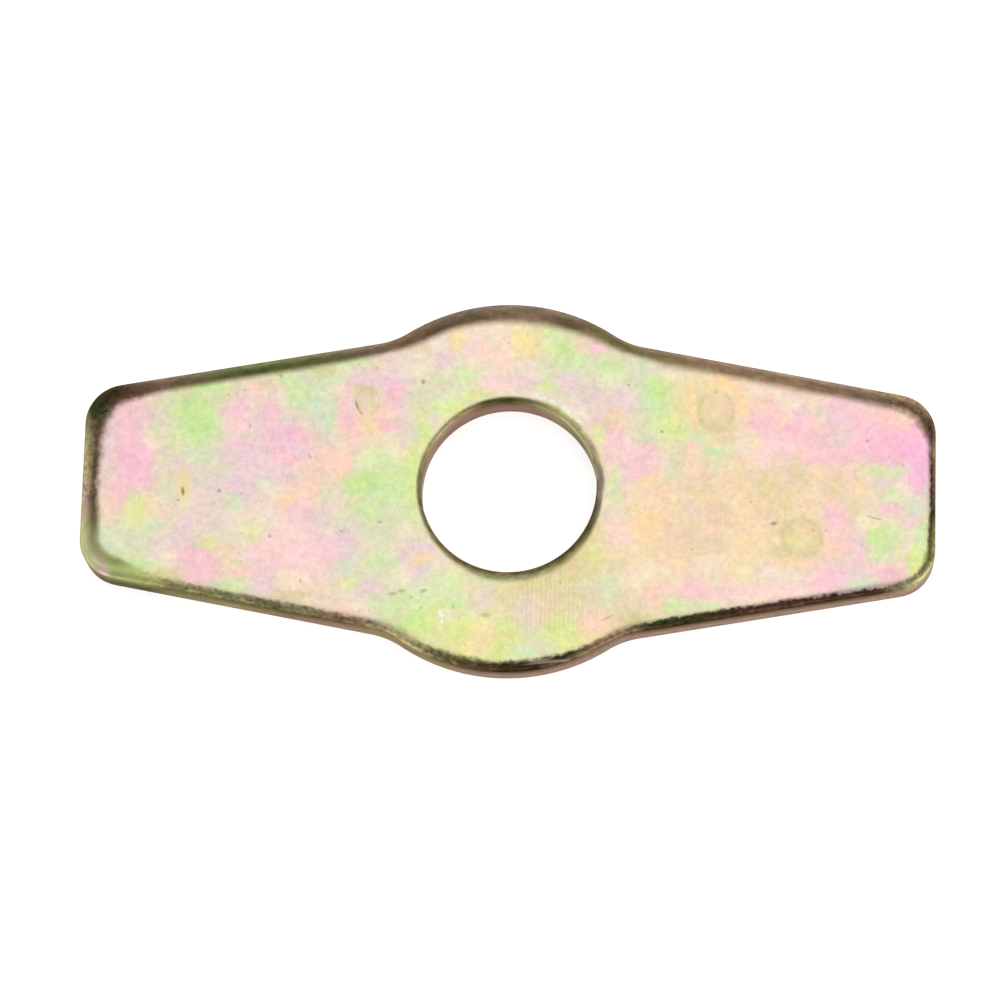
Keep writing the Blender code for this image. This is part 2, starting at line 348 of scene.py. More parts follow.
# The film's colours, each with the places where it shows: x, y, half width and half height in mm.
FILM = {
    "pink": ((0.945, 0.56, 0.65), (
        (-22.2, 4.1, 0.9, 0.7), (-22.3, 2.7, 0.7, 0.8), (-22.8, -0.8, 0.5, 0.7), (-21.2, 0.6, 0.7, 0.9),
        (-16.0, 4.3, 0.7, 0.7), (-15.9, 2.1, 0.6, 0.4), (-13.6, 2.9, 0.5, 0.5), (-13.1, 1.3, 0.6, 0.4),
        (-9.6, 5.4, 0.4, 0.5), (-9.4, 3.9, 0.4, 0.6), (-19.1, -4.1, 0.7, 0.5), (-17.3, -5.2, 0.6, 0.4),
        (-14.1, -4.1, 0.6, 0.4), (-10.4, -4.3, 0.6, 0.7), (-18.0, -5.7, 0.7, 0.3), (6.1, 2.9, 0.5, 0.7),
        (8.1, 1.9, 0.7, 0.5), (7.6, 1.0, 0.6, 0.4), (16.8, 3.4, 0.7, 0.9), (15.0, 3.8, 0.8, 0.7),
        (18.1, 2.0, 0.6, 0.5), (19.3, 5.0, 0.6, 0.4), (20.8, 3.5, 0.5, 0.7), (19.6, 2.2, 0.5, 0.5),
        (22.4, -1.3, 0.4, 0.3), (23.5, -1.9, 0.3, 0.4), (22.2, -5.0, 0.9, 0.4), (20.7, -4.2, 0.4, 0.4),
        (18.6, -5.3, 1.0, 0.5), (19.3, -1.9, 0.7, 0.7), (11.0, -6.2, 0.7, 0.4), (23.9, 3.1, 0.4, 0.5),
        (-11.8, -1.5, 0.5, 0.5), (-13.7, -5.2, 0.4, 0.4), (5.1, 8.4, 0.5, 0.35),
    )),
    "magenta": ((0.95, 0.46, 0.74), (
        (24.0, 1.0, 0.4, 0.8), (23.6, 2.2, 0.5, 0.4),
    )),
    "hot pink": ((0.94, 0.50, 0.65), (
        (-21.9, 1.1, 0.95, 1.35), (-13.8, 4.4, 0.5, 0.4), (-12.4, 2.7, 0.6, 0.4), (-6.8, 5.4, 0.4, 0.6),
        (-7.1, 3.5, 0.5, 0.4), (-18.2, -4.6, 0.7, 0.4), (22.3, 2.6, 1.2, 0.7),
    )),
    "pale pink": ((0.945, 0.66, 0.64), (
        (-12.3, -4.3, 1.4, 0.9), (-12.6, -2.7, 0.7, 0.5), (7.1, 2.2, 0.4, 0.6), (6.4, -2.8, 0.7, 0.8),
        (13.1, -6.3, 0.7, 0.4), (16.0, -6.0, 0.8, 0.3), (-11.2, -5.6, 0.6, 0.4), (-16.3, 3.4, 0.6, 0.5),
        (-14.9, 5.5, 0.5, 0.3), (-2.0, 8.4, 0.5, 0.8), (15.6, 2.3, 0.9, 0.5), (-1.0, 6.1, 0.9, 0.35),
    )),
    "salmon": ((0.945, 0.63, 0.53), (
        (-23.0, -1.9, 0.7, 0.5), (-22.3, 4.9, 1.0, 0.3), (-20.6, -1.9, 0.5, 0.25), (-9.6, 1.0, 0.5, 0.6),
        (-10.4, 1.4, 0.4, 0.5), (-11.1, 0.8, 0.6, 0.4), (-11.6, -0.5, 0.5, 0.5), (-7.3, 4.3, 0.6, 0.4),
        (-8.7, 2.9, 0.6, 0.4), (-15.0, -5.4, 0.6, 0.3), (-8.9, -7.9, 0.6, 0.25), (11.1, 1.1, 0.5, 0.5),
        (15.1, 5.0, 0.6, 0.4), (22.7, 4.3, 0.9, 0.4), (19.2, -3.2, 0.6, 0.7), (8.7, -6.6, 0.6, 0.5),
        (-0.8, 8.0, 0.5, 0.5), (5.3, -8.2, 0.7, 0.6), (10.6, 2.4, 0.3, 0.4),
    )),
    "blush": ((0.95, 0.74, 0.66), (
        (-2.0, 7.5, 0.5, 0.4), (-13.5, -0.5, 0.5, 0.4), (-13.5, 5.0, 0.4, 0.4), (-10.5, -6.5, 0.4, 0.2),
        (-0.5, 8.0, 0.4, 0.3), (14.0, 2.5, 0.5, 0.4), (23.0, 0.0, 0.4, 0.3),
        (-21.0, 2.3, 0.4, 0.4),
    )),
    "lilac": ((0.83, 0.60, 0.69), (
        (-15.6, 1.2, 0.5, 0.6), (-15.6, -0.1, 0.5, 0.6), (-14.8, 1.8, 0.5, 0.4), (-13.4, 0.3, 0.5, 0.4),
        (-14.5, 3.6, 0.4, 0.5), (-9.1, 6.3, 0.6, 0.4), (-8.0, 6.7, 0.5, 0.3), (-7.2, 6.5, 0.5, 0.4),
        (-20.3, -4.2, 0.4, 0.4), (-18.8, -2.9, 0.4, 0.7), (-14.8, -4.8, 0.4, 0.3), (-9.4, -3.7, 0.5, 0.8),
        (-8.0, -6.4, 0.6, 0.4), (-5.2, -3.8, 0.5, 0.3), (-5.3, -5.3, 0.7, 0.5), (-14.0, -6.2, 0.6, 0.4),
        (0.5, 6.3, 0.8, 0.35), (3.3, 6.3, 0.6, 0.5), (6.8, 5.2, 0.5, 0.5), (6.8, 0.3, 0.3, 0.5),
        (19.6, 4.4, 0.4, 0.3), (23.8, 2.0, 0.3, 0.4), (20.4, -3.2, 0.4, 0.6), (20.0, -5.0, 0.5, 0.4),
        (-4.0, 7.5, 0.6, 0.5), (-12.5, 2.0, 0.4, 0.3),
        (-12.1, -2.2, 0.6, 0.4), (-5.9, -4.4, 0.25, 0.4), (-6.3, 4.5, 0.4, 0.5), (-15.1, -0.9, 0.4, 0.4),
    )),
    "lilac grey": ((0.79, 0.64, 0.61), (
        (-23.5, 1.2, 0.4, 1.6), (-20.6, 3.6, 0.5, 0.5), (-19.6, 0.9, 0.6, 0.6), (-17.5, -2.2, 0.9, 0.8),
        (-17.4, -0.4, 0.7, 0.7), (-18.2, -1.5, 0.6, 0.5), (-13.0, 3.8, 0.5, 0.5), (-6.6, 7.8, 0.6, 0.3),
        (-6.0, 3.0, 0.4, 0.6), (-1.4, -6.9, 0.6, 0.5), (1.4, -7.4, 0.6, 0.9), (4.6, 5.6, 0.6, 0.5),
        (19.4, 3.1, 0.5, 0.5), (21.9, 0.3, 0.6, 0.3), (-16.3, 1.3, 0.4, 0.5), (-10.6, -2.2, 0.7, 0.6),
        (-4.6, 3.9, 0.3, 0.3), (8.9, 7.2, 0.6, 0.3), (-19.2, -3.6, 0.5, 0.4), (5.3, 4.9, 0.4, 0.3),
    )),
    "strong green": ((0.54, 0.80, 0.28), (
        (-18.6, 4.3, 1.0, 0.5), (-18.1, 3.2, 0.85, 0.75), (-18.0, 5.6, 1.1, 0.2), (-8.5, 0.0, 0.8, 0.5),
        (-21.5, -5.3, 0.8, 0.4), (21.6, -2.8, 0.4, 0.5), (8.7, 5.9, 0.5, 0.6),
        (-5.1, -8.3, 0.4, 0.4), (2.9, 8.4, 0.5, 0.4),
    )),
    "green": ((0.63, 0.79, 0.40), (
        (-19.5, 3.7, 0.6, 0.8), (-18.8, 2.4, 0.8, 0.5), (-12.4, 5.3, 0.7, 0.6), (-12.9, 6.1, 0.5, 0.4),
        (-9.3, 7.3, 0.8, 0.25), (-7.3, 1.1, 0.8, 0.6), (-7.2, -0.6, 0.8, 0.6), (-8.2, -1.8, 0.6, 0.4),
        (-6.3, 0.2, 0.5, 1.1), (-15.9, -6.3, 0.8, 0.3), (-7.1, -4.8, 0.8, 0.5), (-6.4, -7.2, 0.8, 0.35),
        (-3.5, -5.9, 0.8, 0.4), (-2.8, -7.0, 0.6, 0.5), (-2.7, 6.8, 0.6, 0.6), (2.0, 9.2, 0.4, 0.3),
        (3.7, 7.6, 0.7, 0.4), (5.9, 7.2, 0.8, 0.4), (8.9, 4.8, 0.5, 0.6), (6.3, 0.1, 0.4, 0.7),
        (12.2, 2.0, 0.8, 0.45), (21.9, 1.15, 1.1, 0.3), (22.5, -0.2, 0.5, 0.35), (22.2, -3.0, 0.7, 0.6),
        (21.5, -3.9, 0.4, 0.4), (24.2, -2.7, 0.3, 0.5), (9.9, -7.1, 0.5, 0.35), (11.9, -7.2, 0.8, 0.15),
        (-20.7, 3.1, 0.25, 0.5), (-22.4, -5.0, 0.5, 0.4), (-17.2, 3.9, 0.4, 0.6), (-5.0, -6.9, 0.5, 0.3),
    )),
    "mint": ((0.64, 0.77, 0.52), (
        (-11.3, 4.9, 0.6, 0.8), (-10.7, 3.9, 0.4, 0.8), (-20.6, -2.8, 0.5, 0.35), (-20.5, -4.9, 0.5, 0.3),
        (-9.3, -5.2, 0.4, 0.4), (-10.0, 6.4, 0.6, 0.4), (-23.2, -3.6, 0.7, 0.6), (10.9, 3.0, 0.4, 0.3),
        (8.1, 5.0, 0.35, 0.5), (20.7, -5.6, 0.6, 0.35), (23.6, -0.9, 0.5, 0.35), (-16.0, -1.4, 0.4, 0.5),
        (-13.9, -0.4, 0.5, 0.4), (-18.0, 1.4, 0.6, 0.3),
        (6.1, -6.0, 0.4, 0.5), (1.3, -9.9, 0.6, 0.25),
    )),
    "pale green": ((0.80, 0.84, 0.55), (
        (-10.0, 6.6, 0.5, 0.35), (6.0, 6.5, 0.6, 0.4), (-4.0, 5.0, 0.4, 0.4), (2.5, 8.6, 0.4, 0.4),
        (-3.5, -6.0, 0.5, 0.5), (-5.0, -6.5, 0.4, 0.3), (-6.1, -5.4, 0.5, 0.4),
        (-15.0, -3.0, 0.5, 0.4), (-8.0, 1.5, 0.4, 0.4),
    )),
    "grey green": ((0.71, 0.72, 0.50), (
        (-20.4, 1.4, 0.4, 1.4), (-16.8, 0.8, 0.6, 0.4), (-22.8, -3.4, 0.6, 0.7), (-21.7, -3.8, 0.8, 0.7),
        (-20.0, -0.3, 0.4, 0.7), (-12.0, 6.3, 0.6, 0.3), (-9.4, -2.4, 0.5, 0.5), (-6.6, -1.5, 0.7, 0.5),
        (-7.6, -3.0, 0.7, 0.4), (-5.6, 4.6, 0.4, 0.7), (-5.7, 2.8, 0.3, 0.5), (-3.4, 6.0, 0.5, 0.4),
        (-4.4, 6.5, 0.5, 0.7), (2.2, 7.2, 0.6, 0.5), (7.5, 7.4, 0.7, 0.4), (7.0, 6.3, 0.4, 0.4),
        (9.7, 1.2, 0.5, 0.8), (5.6, -6.6, 0.6, 0.6), (2.4, -9.7, 0.5, 0.3), (-10.6, -0.9, 0.5, 0.4),
        (-8.3, -5.6, 0.5, 0.3), (-7.5, -7.1, 0.4, 0.3), (8.0, 3.0, 0.5, 0.5), (11.3, 6.5, 0.3, 0.4),
        (4.4, -5.9, 0.4, 0.3), (-22.3, -2.6, 0.4, 0.3), (18.1, 4.6, 0.3, 0.4), (3.1, 5.6, 0.5, 0.3),
    )),
    "yellow green": ((0.70, 0.80, 0.30), (
        (-21.7, -2.0, 0.5, 0.7), (-14.85, -3.2, 0.42, 0.42), (-17.4, -3.8, 0.5, 0.3),
        (-15.5, -5.0, 0.4, 0.25),
        (-4.5, -8.5, 0.7, 0.5), (-2.4, -8.9, 0.8, 0.6), (-0.2, -9.7, 0.5, 0.5), (3.3, -8.5, 0.8, 0.7),
        (3.7, -9.3, 0.7, 0.3), (0.1, -8.8, 0.4, 0.6), (5.2, -3.9, 0.5, 0.5), (10.1, 3.4, 0.6, 0.4),
        (5.4, 3.1, 0.35, 0.4), (2.1, 6.0, 0.4, 0.3), (23.9, -4.2, 0.4, 0.7), (-4.0, -7.6, 0.5, 0.3),
        (-9.0, -6.1, 0.4, 0.25), (-5.0, 3.3, 0.35, 0.9), (-3.6, 4.7, 0.8, 0.35), (-5.6, 1.2, 0.3, 0.9),
        (-5.5, -0.8, 0.25, 0.8), (-2.0, 5.6, 0.8, 0.25),
    )),
    "lime": ((0.76, 0.83, 0.34), (
        (-21.7, -2.0, 0.7, 0.65), (-15.2, -2.7, 0.3, 0.25), (16.9, -3.1, 0.22, 0.42),
        (9.0, 3.9, 0.5, 0.5),
    )),
    "olive": ((0.66, 0.59, 0.31), (
        (-19.8, -5.7, 0.8, 0.35), (-12.2, -6.8, 0.9, 0.25), (-11.0, 6.8, 0.7, 0.2), (7.6, -7.9, 0.7, 0.25),
        (-8.6, 5.7, 0.5, 0.12), (-9.0, 5.1, 0.12, 0.5), (-8.1, 5.0, 0.12, 0.5), (12.6, 3.6, 0.4, 0.15),
        (4.0, -5.0, 0.7, 0.45), (1.6, -6.1, 0.6, 0.2),
    )),
    "khaki": ((0.74, 0.64, 0.36), (
        (3.6, -5.4, 0.9, 0.5), (1.8, -6.1, 1.2, 0.4), (4.1, -4.9, 0.9, 0.6),
        (17.0, 1.0, 0.3, 0.6), (19.1, 0.3, 0.4, 0.5), (20.3, -1.3, 0.3, 0.4), (15.2, 0.2, 0.5, 0.5),
        (16.4, -0.6, 0.4, 0.5), (11.3, 4.4, 0.15, 0.5), (11.7, 3.8, 0.3, 0.2), (13.1, 4.0, 0.15, 0.3),
        (16.3, -2.6, 0.2, 0.5), (16.5, -3.6, 0.3, 0.2), (17.2, -4.0, 0.5, 0.15), (18.1, -3.4, 0.2, 0.4),
        (18.1, -2.4, 0.2, 0.4), (17.3, -1.9, 0.5, 0.15), (15.9, -3.9, 0.6, 0.3), (12.8, 2.9, 0.5, 0.2),
    )),
    "straw": ((0.78, 0.67, 0.36), (
        (5.3, -3.2, 0.7, 0.8), (4.1, -5.0, 0.9, 0.6), (1.6, -6.1, 1.0, 0.45), (0.0, -6.4, 0.5, 0.4),
        (3.5, -6.5, 0.6, 0.4), (-21.0, -1.6, 0.35, 0.3),
    )),
    "butter": ((0.88, 0.77, 0.42), (
        (-1.5, -8.6, 0.6, 0.5), (17.0, -3.0, 0.5, 0.5), (13.8, -5.0, 0.5, 0.4),
    )),
    "dull sand": ((0.81, 0.70, 0.52), (
        (6.0, -1.5, 0.5, 0.5), (-15.5, -2.5, 0.4, 0.3),
    )),
    "orange": ((0.95, 0.68, 0.39), (
        (-8.1, 3.3, 0.5, 0.35), (-12.8, -1.1, 0.5, 0.4), (-7.6, 7.1, 0.3, 0.2), (-5.2, -4.5, 0.4, 0.4),
        (-1.2, -9.2, 0.9, 0.5), (10.6, 5.3, 0.4, 0.6), (12.1, 6.2, 0.8, 0.35), (13.5, 5.6, 0.35, 0.5),
        (10.9, 4.3, 0.3, 0.4), (8.5, 0.4, 0.5, 0.35), (13.6, 4.7, 0.3, 0.4), (8.1, -2.3, 0.7, 0.8),
        (5.2, -9.0, 0.6, 0.3), (17.9, -2.8, 0.2, 0.2), (17.0, -4.7, 0.8, 0.25),
    )),
    "yellow": ((0.955, 0.76, 0.36), (
        (-3.1, 8.9, 0.5, 0.5), (0.7, 9.0, 0.4, 0.4), (0.9, 8.4, 0.4, 0.4),
        (14.4, 3.0, 0.25, 0.4),
    )),
    "peach": ((0.91, 0.69, 0.45), (
        (-16.3, -4.5, 0.5, 0.4), (9.3, -0.7, 0.7, 0.6), (14.2, -1.2, 0.9, 0.8), (13.0, -0.3, 0.8, 0.6),
        (18.2, 0.9, 0.4, 0.6), (14.3, -3.0, 0.8, 0.7), (12.5, 4.6, 0.5, 0.5), (12.9, 6.9, 0.6, 0.2),
        (17.3, -0.7, 0.7, 0.6), (9.5, -4.3, 0.8, 0.4), (7.4, -1.0, 0.4, 0.5), (14.0, 1.5, 0.5, 0.6),
        (16.1, 4.1, 0.25, 0.3), (20.7, 0.1, 0.5, 0.5), (11.0, 7.0, 0.6, 0.2), (6.9, -4.1, 0.6, 0.4),
    )),
    "dull peach": ((0.83, 0.635, 0.455), (
        (10.4, -2.2, 0.7, 1.0), (12.1, -1.7, 0.8, 0.6), (12.2, -3.4, 0.6, 0.5), (10.5, -3.5, 0.7, 0.4),
        (11.2, 0.2, 0.9, 0.6), (15.3, -1.6, 0.6, 0.5), (13.5, 0.6, 0.5, 0.4), (6.0, 4.1, 0.5, 0.6),
        (5.2, -7.2, 0.6, 0.5), (-14.5, 5.8, 0.6, 0.2), (-5.3, 8.2, 0.7, 0.3), (2.5, -7.4, 0.4, 0.6),
        (17.7, 5.5, 0.5, 0.3), (-10.6, -6.4, 0.5, 0.3), (1.7, 8.8, 0.3, 0.5), (4.3, 8.6, 0.4, 0.3),
    )),
    "sand": ((0.90, 0.77, 0.56), (
        (-6.5, 2.0, 0.6, 0.6), (-12.0, -6.0, 0.9, 0.4), (-6.0, -5.5, 0.5, 0.4), (-20.0, -4.5, 0.7, 0.5),
        (12.0, -4.5, 0.7, 0.4), (7.5, -5.5, 0.6, 0.5), (-18.5, -1.5, 0.4, 0.4), (-8.0, 5.0, 0.4, 0.4),
        (-10.1, 5.5, 0.3, 0.4), (-20.5, -1.5, 0.4, 0.4), (21.0, -1.9, 0.6, 0.5), (-1.0, 8.6, 0.5, 0.4),
        (-2.0, -6.4, 0.5, 0.4), (9.5, 6.6, 0.5, 0.3), (8.7, -5.0, 0.6, 0.4),
    )),
    "cream": ((0.87, 0.73, 0.62), (
        (-5.6, 7.2, 0.8, 0.6), (-1.6, 9.3, 0.9, 0.35), (-4.4, 8.9, 0.6, 0.4), (1.0, 7.0, 0.4, 0.4),
        (14.8, 5.8, 0.8, 0.3), (16.8, 5.25, 1.0, 0.3),
        (15.5, -5.2, 0.8, 0.4), (17.0, -5.2, 0.7, 0.3),
        (-6.0, -3.0, 0.4, 0.4), (-3.5, -8.0, 0.3, 0.4), (3.0, 4.9, 0.4, 0.25), (4.2, 4.1, 0.3, 0.3),
        (1.5, 5.5, 0.5, 0.2), (-8.3, -7.3, 0.5, 0.3), (23.4, -3.2, 0.25, 0.5),
        (-15.5, -2.6, 0.6, 0.4), (-4.0, -4.9, 0.4, 0.5),
    )),
}
PLAIN_FILM = (0.83, 0.68, 0.56)
PLAIN_WEIGHT = 0.02
WARP = 0.28
FINE_WARP = 0.6 * WARP
WARP_LENGTH = 0.9
FINE_WARP_LENGTH = 0.35
FILM_EDGE = 2.8
FILM_HALO = 0.07
HALO_SPREAD = 2.6


def film_over(x, y):
    """The film's colour at points in mm, where each place gives way to the next along a wavering line."""
    wander_x = x + WARP * noise_over(x, y, WARP_LENGTH, 11.5)
    wander_x += FINE_WARP * noise_over(x, y, FINE_WARP_LENGTH, 21.5)
    wander_y = y + WARP * noise_over(x, y, WARP_LENGTH, 31.5)
    wander_y += FINE_WARP * noise_over(x, y, FINE_WARP_LENGTH, 41.5)
    total = np.full(len(x), PLAIN_WEIGHT)
    colour = total[:, None] * np.array(PLAIN_FILM)
    for shade, places in FILM.values():
        for px, py, half_width, half_height in places:
            span = np.hypot((wander_x - px) / half_width, (wander_y - py) / half_height)
            weight = np.exp(-0.7 * span**FILM_EDGE)
            weight += FILM_HALO * np.exp(-0.5 * (span / HALO_SPREAD) ** 2)
            total += weight
            colour += weight[:, None] * np.array(shade)
    return colour / total[:, None]


film = np.empty((len(points), 3))
upper = points[:, 2] > THICKNESS / 2
film[upper] = film_over(x_mm[upper], y_mm[upper])
film[~upper] = film_over(-x_mm[~upper], -y_mm[~upper])

# Tones on the edges: partly the thicker film, partly painted reflection, dark where a rolled edge would
# mirror the dim room and pale where it would mirror the lamp
UMBER = (0.53, 0.375, 0.295)
FAWN = (0.66, 0.47, 0.36)
ROSEWOOD = (0.61, 0.34, 0.26)
SLATE = (0.17, 0.145, 0.12)
ASH = (0.29, 0.25, 0.22)
SOOT = (0.03, 0.022, 0.008)
BLACK_BROWN = (0.075, 0.045, 0.022)
WINE = (0.11, 0.052, 0.038)
DARK_BROWN = (0.14, 0.09, 0.045)
MAROON = (0.20, 0.11, 0.085)
BROWN = (0.23, 0.155, 0.095)
CHESTNUT = (0.33, 0.22, 0.13)
DRAB = (0.33, 0.245, 0.165)
HAZEL = (0.41, 0.29, 0.18)
COPPER = (0.48, 0.30, 0.19)
RUSSET = (0.45, 0.28, 0.24)
BRASS = (0.50, 0.38, 0.14)
ROSE = (0.72, 0.47, 0.38)
TAN = (0.52, 0.37, 0.22)
KHAKI = (0.47, 0.39, 0.20)
SMOKE = (0.46, 0.38, 0.29)
OLIVE_BROWN = (0.28, 0.22, 0.10)
DARK_OLIVE = (0.15, 0.13, 0.05)
OLIVE = (0.33, 0.32, 0.15)
MOSS = (0.55, 0.58, 0.28)
PINE = (0.11, 0.12, 0.03)
BLACK_GREEN = (0.05, 0.06, 0.022)
FERN = (0.25, 0.29, 0.11)
DEEP_GREEN = (0.18, 0.21, 0.055)
STRAW = (0.64, 0.54, 0.29)
LEMON = (0.77, 0.70, 0.38)
LEAF = (0.60, 0.70, 0.24)
# Painted highlights: pale green and tan that stand for the lamp's light on the lower left corner
LEAF_HIGHLIGHT = (0.86, 0.97, 0.42)
PALE_LEAF_HIGHLIGHT = (0.93, 0.95, 0.48)
TAN_HIGHLIGHT = (1.0, 0.90, 0.58)

# Round the outline: the angle, where on the roll the dark tone ends (1 is the roll's inner side) and how
# softly, and its tone on the wall, at the wall's top, and then on the roll's outer, middle and inner parts.
# The tones are partly the thicker film and partly painted reflection: painted shade where the edge would
# mirror the dim room, painted highlight where it would mirror the lamp.
EDGE_ROUND = (
    (0, 0.40, 0.08, UMBER, UMBER, BROWN, WINE, MAROON),
    (3, 0.42, 0.12, UMBER, UMBER, BROWN, WINE, MAROON),
    (6, 0.42, 0.26, UMBER, UMBER, CHESTNUT, MAROON, MAROON),
    (9, 0.94, 0.32, UMBER, UMBER, DARK_OLIVE, BLACK_BROWN, DARK_BROWN),
    (13, 1.10, 0.38, UMBER, UMBER, HAZEL, COPPER, DARK_BROWN),
    (18, 0.94, 0.28, UMBER, BROWN, DRAB, HAZEL, BROWN),
    (24, 0.92, 0.28, UMBER, BROWN, DRAB, COPPER, CHESTNUT),
    (32, 0.90, 0.28, UMBER, BROWN, DRAB, COPPER, CHESTNUT),
    (42, 0.98, 0.34, UMBER, OLIVE_BROWN, SLATE, HAZEL, OLIVE_BROWN),
    (50, 0.74, 0.22, UMBER, OLIVE_BROWN, OLIVE_BROWN, OLIVE_BROWN, OLIVE_BROWN),
    (60, 0.96, 0.30, UMBER, OLIVE_BROWN, SLATE, OLIVE_BROWN, OLIVE_BROWN),
    (70, 1.12, 0.30, UMBER, OLIVE_BROWN, SLATE, DRAB, DARK_BROWN),
    (80, 1.10, 0.28, UMBER, BROWN, SLATE, HAZEL, BROWN),
    (90, 1.04, 0.28, UMBER, OLIVE_BROWN, SLATE, HAZEL, BROWN),
    (100, 1.02, 0.30, UMBER, OLIVE_BROWN, SLATE, DRAB, DARK_BROWN),
    (110, 1.00, 0.28, UMBER, OLIVE_BROWN, SLATE, DRAB, DARK_BROWN),
    (120, 1.08, 0.28, UMBER, BROWN, SLATE, CHESTNUT, DARK_BROWN),
    (130, 0.84, 0.24, UMBER, BROWN, SLATE, CHESTNUT, BROWN),
    (140, 1.00, 0.26, UMBER, OLIVE, ASH, DRAB, DARK_OLIVE),
    (150, 1.06, 0.28, UMBER, OLIVE, SLATE, FERN, PINE),
    (157, 1.06, 0.28, UMBER, OLIVE, SLATE, FERN, PINE),
    (163, 0.90, 0.22, UMBER, BROWN, ASH, CHESTNUT, MAROON),
    (166, 1.14, 0.28, UMBER, DARK_OLIVE, BLACK_GREEN, BLACK_BROWN, BLACK_BROWN),
    (170, 1.36, 0.40, UMBER, DEEP_GREEN, BLACK_GREEN, BLACK_GREEN, BLACK_GREEN),
    (174, 1.10, 0.34, UMBER, OLIVE, OLIVE, KHAKI, DARK_BROWN),
    (180, 0.98, 0.26, UMBER, OLIVE, OLIVE_BROWN, STRAW, DARK_BROWN),
    # Rows 183 to 194.5 paint a highlight on the lower left corner: its pale rose, lemon, green and tan
    # stand for the lamp's light.
    (183, 1.00, 0.26, KHAKI, OLIVE, OLIVE_BROWN, ROSE, DARK_BROWN),
    (185.5, 1.05, 0.22, KHAKI, OLIVE, OLIVE_BROWN, LEMON, DARK_OLIVE),
    (188.5, 1.04, 0.18, OLIVE, OLIVE, OLIVE_BROWN, LEAF_HIGHLIGHT, OLIVE),
    (191, 1.04, 0.18, OLIVE, OLIVE, OLIVE_BROWN, PALE_LEAF_HIGHLIGHT, OLIVE),
    (192.7, 1.04, 0.18, BROWN, BROWN, OLIVE_BROWN, TAN_HIGHLIGHT, OLIVE),
    (194.5, 0.98, 0.18, DARK_OLIVE, OLIVE, OLIVE, LEAF, FERN),
    (196.5, 0.52, 0.16, DARK_OLIVE, OLIVE, OLIVE, LEAF, LEAF),
    (198, 0.45, 0.14, OLIVE, DARK_OLIVE, DARK_OLIVE, KHAKI, LEAF),
    (203, 0.38, 0.12, KHAKI, BLACK_BROWN, DARK_OLIVE, OLIVE, MOSS),
    (212, 0.39, 0.11, HAZEL, BLACK_BROWN, BLACK_BROWN, OLIVE, OLIVE_BROWN),
    (222, 0.35, 0.12, UMBER, BROWN, DARK_BROWN, CHESTNUT, TAN),
    (230, 0.32, 0.12, KHAKI, BROWN, OLIVE_BROWN, TAN, STRAW),
    (240, 0.42, 0.14, HAZEL, OLIVE, KHAKI, STRAW, LEMON),
    (250, 0.52, 0.15, KHAKI, DARK_OLIVE, DARK_OLIVE, OLIVE_BROWN, STRAW),
    (260, 0.50, 0.14, UMBER, BLACK_BROWN, BLACK_BROWN, DARK_OLIVE, OLIVE),
    (270, 0.43, 0.14, UMBER, BLACK_BROWN, SOOT, BLACK_BROWN, OLIVE),
    (280, 0.53, 0.15, UMBER, CHESTNUT, SOOT, BLACK_BROWN, OLIVE_BROWN),
    (291, 0.40, 0.10, UMBER, COPPER, BROWN, BLACK_GREEN, OLIVE),
    (300, 0.32, 0.10, UMBER, FAWN, BROWN, CHESTNUT, TAN),
    (308, 0.26, 0.10, UMBER, FAWN, BROWN, CHESTNUT, TAN),
    (315, 0.35, 0.09, UMBER, FAWN, BLACK_BROWN, BLACK_GREEN, DARK_OLIVE),
    (323, 0.44, 0.09, UMBER, FAWN, SOOT, BLACK_GREEN, DARK_OLIVE),
    (331, 0.38, 0.09, UMBER, FAWN, BLACK_BROWN, WINE, BROWN),
    (337, 0.37, 0.10, UMBER, FAWN, BLACK_BROWN, WINE, BROWN),
    (344.5, 0.20, 0.09, UMBER, FAWN, SOOT, WINE, MAROON),
    # Rows 347 and 350.5 paint a highlight on the lower right corner: pale straw, lemon and moss stand for
    # the lamp's light.
    (347, 0.34, 0.12, UMBER, STRAW, LEMON, KHAKI, KHAKI),
    (350.5, 0.62, 0.10, KHAKI, LEMON, MOSS, PINE, LEAF),
    (354, 0.43, 0.09, UMBER, PINE, OLIVE, DARK_OLIVE, OLIVE),
    (357, 0.40, 0.08, UMBER, PINE, BLACK_GREEN, BLACK_GREEN, OLIVE),
)
EDGE_STOPS = (-1.0, -0.6, -0.1, 0.3, 0.7)
